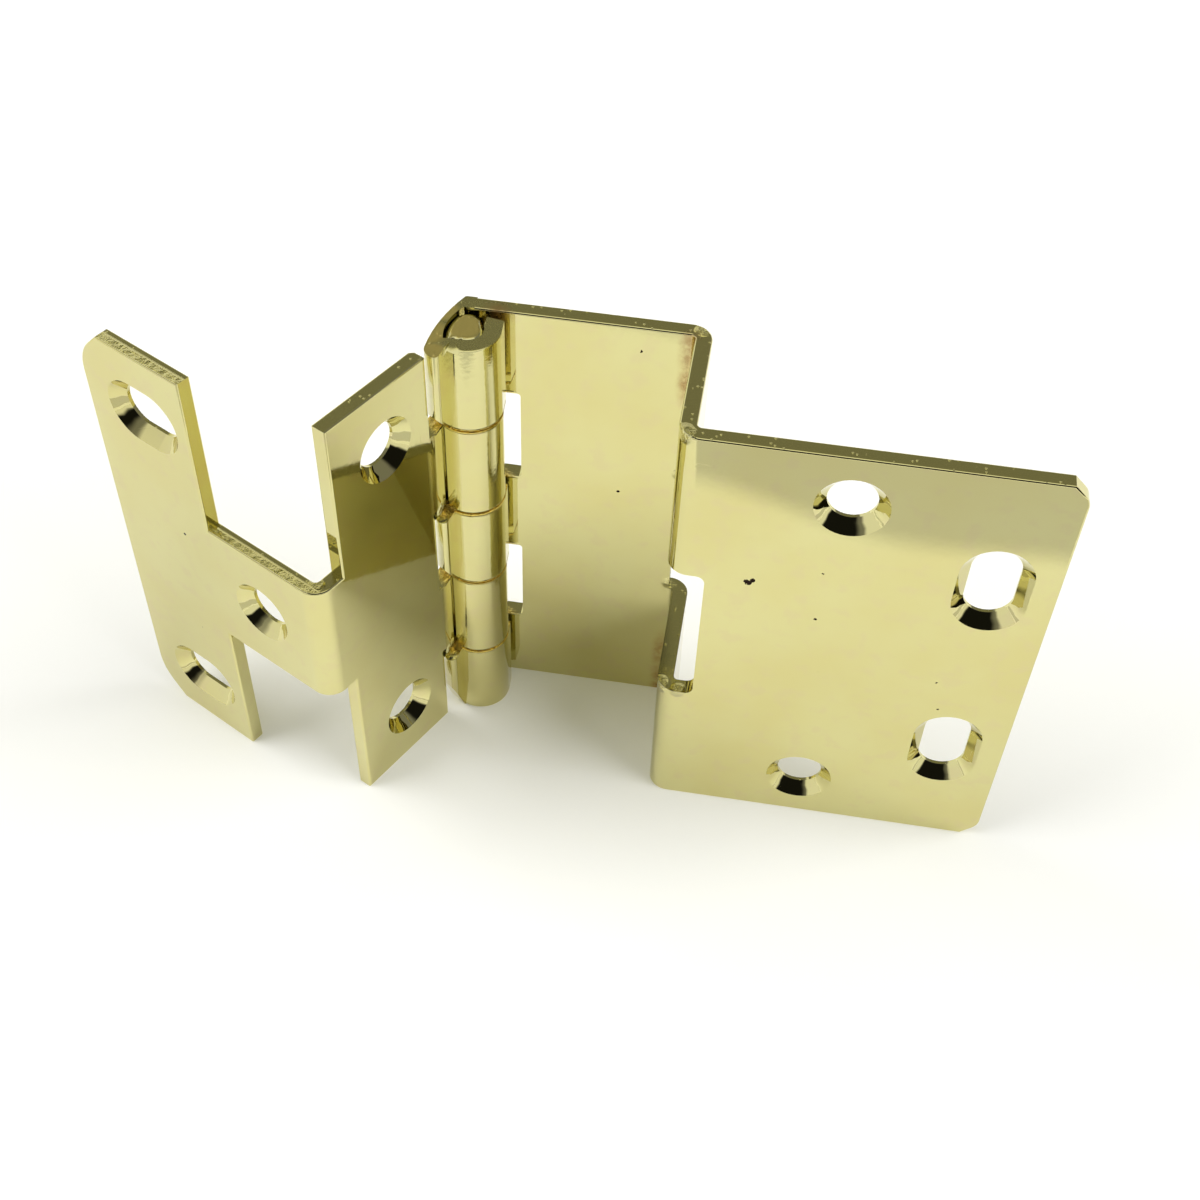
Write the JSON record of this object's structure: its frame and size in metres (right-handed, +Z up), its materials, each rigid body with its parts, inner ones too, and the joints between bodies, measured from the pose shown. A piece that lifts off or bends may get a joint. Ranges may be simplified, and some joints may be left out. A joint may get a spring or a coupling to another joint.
{
  "type": "institutional hinge",
  "caption": "Wrap-around cabinet hinge: a stepped door wing and a T-shaped frame wing, folded from sheet, swing on one riveted pin; screw holes are countersunk.",
  "frame": {"origin": "middle of the pair of round screw holes in the door wing, on the face that lies against the door", "axes": "+X along the door wing away from the pin, +Y away from the countersinks, +Z up along the pin"},
  "size_m": [0.1235, 0.0313, 0.0698],
  "materials": {
    "door_brass": "bright brass plating on steel",
    "frame_brass": "bright brass plating on steel",
    "pin_brass": "bright brass plating on a peened steel end"
  },
  "bodies": {
    "door_side": {"door_wing": "door_brass", "hinge_pin": "pin_brass"},
    "frame_side": {"frame_wing": "frame_brass"}
  },
  "joints": [
    {"name": "hinge_swing", "type": "hinge", "parent": "door_side", "child": "frame_side", "pos_m": [-0.0493, 0.0124, 0], "axis": [0, 0, 1], "range_deg": [-151.9, 118.1]}
  ]
}
